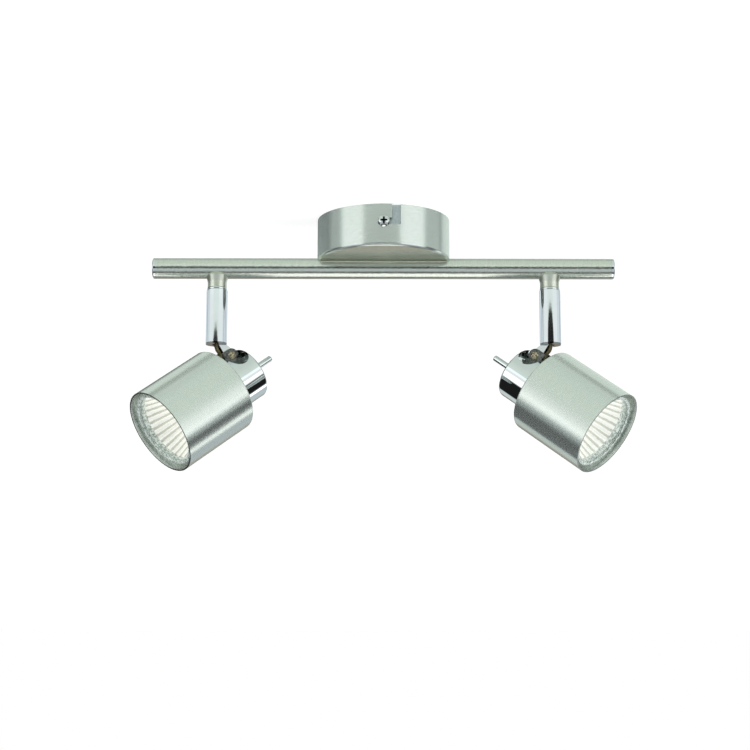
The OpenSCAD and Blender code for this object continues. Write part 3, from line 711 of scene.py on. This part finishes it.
def add_mesh(name, vertices, faces, matrix, material):
    """Smooth mesh from millimetres in the frame of matrix."""
    mesh = bpy.data.meshes.new(name)
    mesh.from_pydata([matrix @ (Vector(v) * MM) for v in vertices], [], faces)
    mesh.materials.append(material)
    mesh.validate()
    mesh.shade_smooth()
    thing = bpy.data.objects.new(name, mesh)
    SCENE.collection.objects.link(thing)
    return thing


def loop_faces(rings, per_ring, closed):
    """Quads between rings of points that close on themselves; closed joins last to first."""
    faces = []
    count = rings if closed else rings - 1
    for i in range(count):
        a, b = i * per_ring, (i + 1) % rings * per_ring
        for k in range(per_ring):
            n = (k + 1) % per_ring
            faces.append((a + k, a + n, b + n, b + k))
    return faces


def bowl(x):
    """Outer radius of the lamp's bowl, a parabola, at x along the lamp."""
    return BOWL_RADIUS * math.sqrt((x - BOWL_VERTEX) / (BOWL_FRONT - BOWL_VERTEX))


def lamp_bowl(side, material):
    """Glass bowl with a fluted mirror inside. The flutes are shallow hollows that end at the rim."""
    per_flute, rows = 10, 40
    around = FLUTES * per_flute
    flute_end = BOWL_FRONT - 0.3
    vertices = []
    outer = [BOWL_BACK + (BOWL_FRONT - BOWL_BACK) * k / rows for k in range(rows + 1)]
    rim_front, rim_inside, neck = BOWL_FRONT + RIM_LENGTH, BOWL_RADIUS - BOWL_WALL, 5.5
    # (whether it is the inner face, position along the lamp, radius)
    profile = [(False, x, bowl(x)) for x in outer]
    profile += [(False, rim_front - 0.4, BOWL_RADIUS), (False, rim_front, BOWL_RADIUS - 0.4)]
    profile += [(True, rim_front, rim_inside + 0.3), (True, rim_front - 0.3, rim_inside)]
    profile += [(True, x, bowl(x) - BOWL_WALL) for x in outer[::-1] if bowl(x) - BOWL_WALL > 5.6]
    profile += [(True, BOWL_BACK + 1.2, neck), (False, BOWL_BACK, neck)]
    for inner, x, radius in profile:
        depth = 0.0
        if inner and x < BOWL_FRONT:
            rise = min(1.0, max(0.0, (flute_end - x) / 1.6))
            depth = FLUTE_DEPTH * radius * rise * rise * (3 - 2 * rise)
        for k in range(around):
            angle = 2 * math.pi * k / around
            wave = abs(math.sin(angle * FLUTES / 2))
            r = radius - depth * (1 - wave ** 0.8)
            vertices.append((r * math.cos(angle), r * math.sin(angle), x))
    faces = loop_faces(len(profile), around, True)
    thing = add_mesh(side + "_fluted_bowl", vertices, faces, lamp_matrix(side), material)
    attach(thing, side + "_lamp")
    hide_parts(side + "_lamp_reflector")


def spin(name, outline, matrix, material, segments=128, closed=False):
    """Surface of revolution round Z of an outline of (radius, z) points."""
    vertices = [
        (r * math.cos(2 * math.pi * k / segments), r * math.sin(2 * math.pi * k / segments), z)
        for r, z in outline
        for k in range(segments)
    ]
    return add_mesh(name, vertices, loop_faces(len(outline), segments, closed), matrix, material)


def lamp_front(side, material):
    """Front glass: a slightly domed pane inside a moulded, rounded rim."""
    back, front = LENS_BACK, LENS_BACK + LENS_THICK
    rim, edge, dish = BOWL_RADIUS - 0.15, 0.7, 0.3
    inner, outer = back + 0.45, front - 0.62
    outline = [(0.02, inner), (0.3, inner)]
    outline += [(r, inner - dish * (r / 22.0) ** 2) for r in (4, 8, 12, 16, 19, 21.4)]
    outline += [(22.2, back + 0.02), (rim - 0.5, back), (rim, back + 0.5), (rim, front - edge)]
    outline += [
        (rim - edge + edge * math.cos(a), front - edge + edge * math.sin(a))
        for a in (0.4, 0.8, 1.2, 1.57)
    ]
    outline += [(23.9, front), (23.3, front - 0.08), (22.8, front - 0.35), (22.3, front - 0.55)]
    outline += [(21.6, outer)]
    outline += [(r, outer + dish * (1 - (r / 21.6) ** 2)) for r in (19, 16, 12, 8, 4)]
    outline += [(0.3, outer + dish), (0.02, outer + dish)]
    thing = spin(side + "_front_glass", outline, lamp_matrix(side), material, 160, closed=True)
    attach(thing, side + "_lamp")
    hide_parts(side + "_lamp_lens")


def swivel_ring(side, material):
    """Ring between the collar and the arm, with rounded edges."""
    low, high, e = RING_TOP - RING_THICK, RING_TOP, 0.5
    middle = RING_RADIUS - e
    turns = [math.pi / 2 * k / 5 for k in range(6)]
    outline = [(RING_BORE, low), (middle - 0.3, low)]
    outline += [(middle + e * math.sin(a), low + e - e * math.cos(a)) for a in turns]
    outline += [(middle + e * math.cos(a), high - e + e * math.sin(a)) for a in turns]
    outline += [(middle - 0.3, high), (RING_BORE, high)]
    matrix = Matrix.Translation((ARM_X * MM * (1 if side == "right" else -1), 0, 0))
    thing = spin(side + "_rounded_ring", outline, matrix, material, 96, closed=True)
    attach(thing, side + "_arm")
    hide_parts(side + "_swivel_ring")


def lamp_capsule(side, material):
    """Halogen capsule with its pinched end, pressed shoulder and exhaust tip."""
    back, tip, full = CAPSULE_BACK, CAPSULE_TIP, CAPSULE_RADIUS
    straight = tip - full
    outline = [(0.02, back), (3.3, back), (3.6, back + 0.4), (3.6, back + 5.2)]
    outline += [(3.75, back + 6.2), (4.2, back + 7.2), (full, back + 8.6), (full, straight - 2)]
    outline += [
        (full * math.cos(a), straight + (full - 0.9) * math.sin(a))
        for a in (0.0, 0.3, 0.6, 0.9, 1.15, 1.35)
    ]
    outline += [(0.75, tip - 0.75), (0.45, tip - 0.15), (0.02, tip - 0.02)]
    thing = spin(side + "_capsule", outline, lamp_matrix(side), material, 48)
    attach(thing, side + "_lamp")
    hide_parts(side + "_lamp_capsule")


def smooth_route(points, step=0.35):
    """Points every step millimetres along a smooth curve through the given ones."""
    pts = [Vector(p) for p in points]
    ends = [2 * pts[0] - pts[1], *pts, 2 * pts[-1] - pts[-2]]
    route = []
    for a, b, c, d in zip(ends, ends[1:], ends[2:], ends[3:]):
        pieces = max(2, round((c - b).length / step))
        for k in range(pieces):
            u = k / pieces
            square = (2 * a - 5 * b + 4 * c - d) * u**2
            cube = (3 * b - a - 3 * c + d) * u**3
            route.append(0.5 * (2 * b + (c - a) * u + square + cube))
    return route + [pts[-1]]


def swept(points, radius, sides, braid=0.0, pitch=2.6, step=0.35):
    """Vertices and faces of a round lead along a route, with an optional braided sleeve."""
    strands = 4
    route = smooth_route(points, step)
    vertices, travelled = [], 0.0
    up = Vector((0, 1, 0))
    for i, p in enumerate(route):
        ahead = (route[min(i + 1, len(route) - 1)] - route[max(i - 1, 0)]).normalized()
        if i:
            travelled += (p - route[i - 1]).length
        up = (up - ahead * up.dot(ahead)).normalized()
        other = ahead.cross(up)
        for k in range(sides):
            a = 2 * math.pi * k / sides
            swirl = 2 * math.pi * travelled / pitch
            weave = math.sin(strands * a / 2 + swirl) * math.sin(strands * a / 2 - swirl)
            r = radius * (1 - braid * (1 - abs(weave)))
            vertices.append(p + r * (math.cos(a) * up + math.sin(a) * other))
    faces = loop_faces(len(route), sides, False)
    last = (len(route) - 1) * sides
    faces += [tuple(range(sides - 1, -1, -1)), tuple(last + k for k in range(sides))]
    return vertices, faces


def leads(name, routes, radius, sides, matrix, material, **sleeve):
    """Several leads as one piece."""
    vertices, faces = [], []
    for points in routes:
        v, f = swept(points, radius, sides, **sleeve)
        faces += [tuple(len(vertices) + i for i in face) for face in f]
        vertices += v
    return add_mesh(name, vertices, faces, matrix, material)


def lamp_leads(side, material):
    """The sleeved pair from the arm's plug, past the tilt pivot, to the back of the lampholder.
    It is laid out in the rest pose and attached to neither the arm nor the head."""
    tilt = arm_matrix(side).inverted() @ head_matrix(side)
    routes = []
    for way in (-1, 1):
        route = [
            (9.3, way * SLEEVE_Y, 27.0), (9.3, way * SLEEVE_Y, 12.0), (9.3, way * SLEEVE_Y, 7.5),
            (9.25, way * SLEEVE_Y, 5.6), (8.8, way * SLEEVE_Y, 3.8), (7.9, way * SLEEVE_Y, 2.4),
            (6.7, way * SLEEVE_Y, 1.3), (5.7, way * SLEEVE_Y, 0.1), (5.1, way * SLEEVE_Y, -1.4),
        ]
        for x, z, spread in (
            (5.9, -4.2, 0), (6.9, -5.1, 0), (7, -5.9, 0), (6.1, -7.2, 0.2), (5.3, -9, 0.5),
            (4.8, -12, 0.8), (5, -14.8, 1), (5.7, -16, 1), (6.9, -16.3, 1),
        ):
            y = way * (SLEEVE_Y + spread * (PIN_ORBIT - SLEEVE_Y))
            route.append(tuple((tilt @ (Vector((x, y, z)) * MM)) / MM))
        routes.append(route)
    name, matrix = side + "_sleeved_leads", arm_matrix(side)
    thing = leads(name, routes, SLEEVE_RADIUS, 20, matrix, material, braid=0.30, pitch=2.0)
    end = head_matrix(side) @ (Vector((6.9, 0, -5.1)) * MM)
    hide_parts(side + "_arm_leads", side + "_head_leads")
    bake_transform(thing)


def fixture_leads(name, routes, material, step):
    return leads(name, routes, PVC_RADIUS, 12, Matrix.Identity(4), material, step=step)


def supply_pair(material):
    """Two PVC leads to each arm, from the terminal block down the centre stud and along the bar."""
    routes = []
    for side, lift in ((-1, 0.8), (1, -0.8)):
        for way in (-1, 1):
            in_arm, in_bar, in_stud = SLEEVE_Y * way, 0.85 * way, 0.85 * side
            routes.append([
                (side * ARM_X, in_arm, STUD_END + 0.5), (side * ARM_X, in_arm, BAR_Z - 4),
                (side * (ARM_X - 1.2), in_arm, BAR_Z - 1.4), (side * (ARM_X - 4), in_bar, BAR_Z),
                (side * 60, in_bar, BAR_Z), (side * 4, in_bar, BAR_Z),
                (side * 1.5, in_bar, BAR_Z + 1), (in_stud, in_bar, BAR_Z + 3),
                (in_stud, in_bar, STUD_TOP + 3),
                (in_stud + 0.5, in_bar, POLE_Z - 2.4 + 2 * lift),
                (in_stud + 2.4, 1.5 * in_bar, POLE_Z - 0.5 + 1.5 * lift),
                (BLOCK_X - 3, way * (POLE_PITCH - 0.6), POLE_Z + lift),
                (BLOCK_X + 3, way * POLE_PITCH, POLE_Z + lift),
            ])
    thing = fixture_leads("supply_leads_pvc", routes, material, 1.2)
    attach(thing, "fixture")
    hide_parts("supply_leads")


def earth_wire(material):
    """The earth lead, from the plate's earth screw to the middle pole of the terminal block."""
    route = [
        (-13.6, 0, -2.5), (-10, 0, -2.7), (BLOCK_X - 8, 0, -2.7),
        (BLOCK_X - 3, 0, POLE_Z + 1), (BLOCK_X + 3, 0, POLE_Z),
    ]
    thing = fixture_leads("earth_lead_pvc", [route], material, 0.8)
    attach(thing, "fixture")
    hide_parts("earth_lead")


def build_fixture(bright, zinc, brass):
    """Looks of the pieces that don't move: canopy, bar and what they hold."""
    upright = Matrix.Identity(4)
    bar_axes = Vector((0, 1, 0)), Vector((0, 0, 1)), Vector((1, 0, 0))
    bar = axes_matrix(*bar_axes, Vector((0, 0, BAR_Z * MM)))
    # The canopy's underside colour is a painted reflection of the bar and the floor.
    canopy = satin(
        "satin_canopy", upright, (0.70, 0.755, 0.725), speckle=0.3, underside_reflection=(0.80, 0.82, 0.71)
    )
    tube = satin(
        "satin_bar", bar, (0.72, 0.76, 0.70), roughness=0.11, speckle=0.9, spots=0.6, cross=1.4
    )
    collars = satin("satin_collars", upright, (0.76, 0.78, 0.69), roughness=0.30, spread=0.4)
    nylon = dielectric("nylon", (0.88, 0.86, 0.80), 0.45)
    paint(canopy, "canopy")
    paint(tube, "bar_tube")
    paint(collars, "bar_collars")
    paint(bright, "end_caps")
    paint(recessed_chrome("screw_chrome"), "canopy_screws")
    paint(zinc, "mounting_bracket", "bar_nut", "toothed_washer", "ring_nuts", "pan_stop_pins")
    paint(brass, "terminal_screws", "earth_screw", "bar_stud", "swivel_studs")
    paint(nylon, "terminal_block", "stud_bush")
    supply_pair(two_tone("supply_pvc", (0.20, 0.07, 0.03), (0.03, 0.10, 0.42)))
    earth_wire(dielectric("earth_pvc", (0.22, 0.42, 0.06), 0.45))


def build_heads(bright, zinc, brass):
    """Looks of the arms, heads and lamps."""
    ceramic = dielectric(
        "ceramic", (0.84, 0.82, 0.76), 0.55, relief=0.3, speck=(0.74, 0.72, 0.66)
    )
    sleeve = dielectric(
        "sleeve", (0.20, 0.16, 0.07), 0.50, spots=0.5, scale=1.2, relief=0.5,
        speck=(0.50, 0.46, 0.30),
    )
    # Painted shade: the fork's plate is made near black for the shade in its notch.
    ear_painted_dark = plated("fork_plate_painted_dark", (0.14, 0.15, 0.14), 0.16, spots=0.8)
    # Painted reflection: the plug's chrome is darkened for the dark surroundings it reflects.
    plug = chrome("plug_chrome_painted_dark", base=(0.24, 0.25, 0.25))
    knuckle = chrome("knuckle_chrome", base=(0.60, 0.64, 0.65), roughness=0.10)
    pivot = plated("pivot_plate", (0.60, 0.52, 0.38), 0.25, spots=0.5, scale=1.2)
    arm_lean = {"left": 0.0067, "right": 0.0}
    shade_fade = {"left": -0.30, "right": -0.6}
    for side in SIDES:
        matrix = lamp_matrix(side)
        # end darkens the shade's front edge face, a painted shade.
        shade = satin(
            side + "_satin_shade", matrix, (0.74, 0.79, 0.755), roughness=0.27, speckle=0.42,
            spots=0.15, spread=0.83, inside=SHADE_INSIDE, end=SHADE_FRONT, lean=0.155,
            fade=shade_fade[side],
        )
        paint(chrome(side + "_arm_chrome", lean=arm_lean[side]), side + "_arm_tube")
        paint(plug, side + "_arm_plug")
        paint(knuckle, side + "_knuckle")
        paint(bright, side + "_lamp_housing", side + "_handle_rod", side + "_lamp_pins")
        paint(ear_painted_dark, side + "_tilt_fork")
        paint(pivot, side + "_pivot_screw", side + "_pivot_nut")
        paint(zinc, side + "_holder_screws", side + "_shade_ring")
        paint(brass, side + "_holder_contacts")
        paint(ceramic, side + "_lampholder", side + "_lamp_base")
        paint(shade, side + "_shade")
        swivel_ring(side, bright)
        lamp_bowl(side, mirror_bowl(side + "_mirror_painted_glow", matrix, FLUTES))
        lamp_front(side, clear_glass(side + "_front_glass", matrix))
        glow = glowing(side + "_capsule_glow", (0.95, 0.93, 0.90), (1.0, 0.97, 0.92), 1.8)
        lamp_capsule(side, glow)
        lamp_leads(side, sleeve)


def build():
    make_camera()
    make_world()
    make_stage()
    area_light("key", (-0.6, -1.2, 0.5), (0, 0, -0.05), (0.8, 0.8), 6.0)
    area_light("fill", (0.9, -0.7, -0.5), (0, 0, -0.08), (0.8, 0.8), 3.0)
    bright = chrome("chrome")
    zinc = plated("zinc", (0.74, 0.82, 0.86), 0.42)
    brass = plated("brass", (0.78, 0.60, 0.28), 0.30, spots=0.15)
    build_fixture(bright, zinc, brass)
    build_heads(bright, zinc, brass)


build()

SCENE.view_settings.view_transform = "Standard"
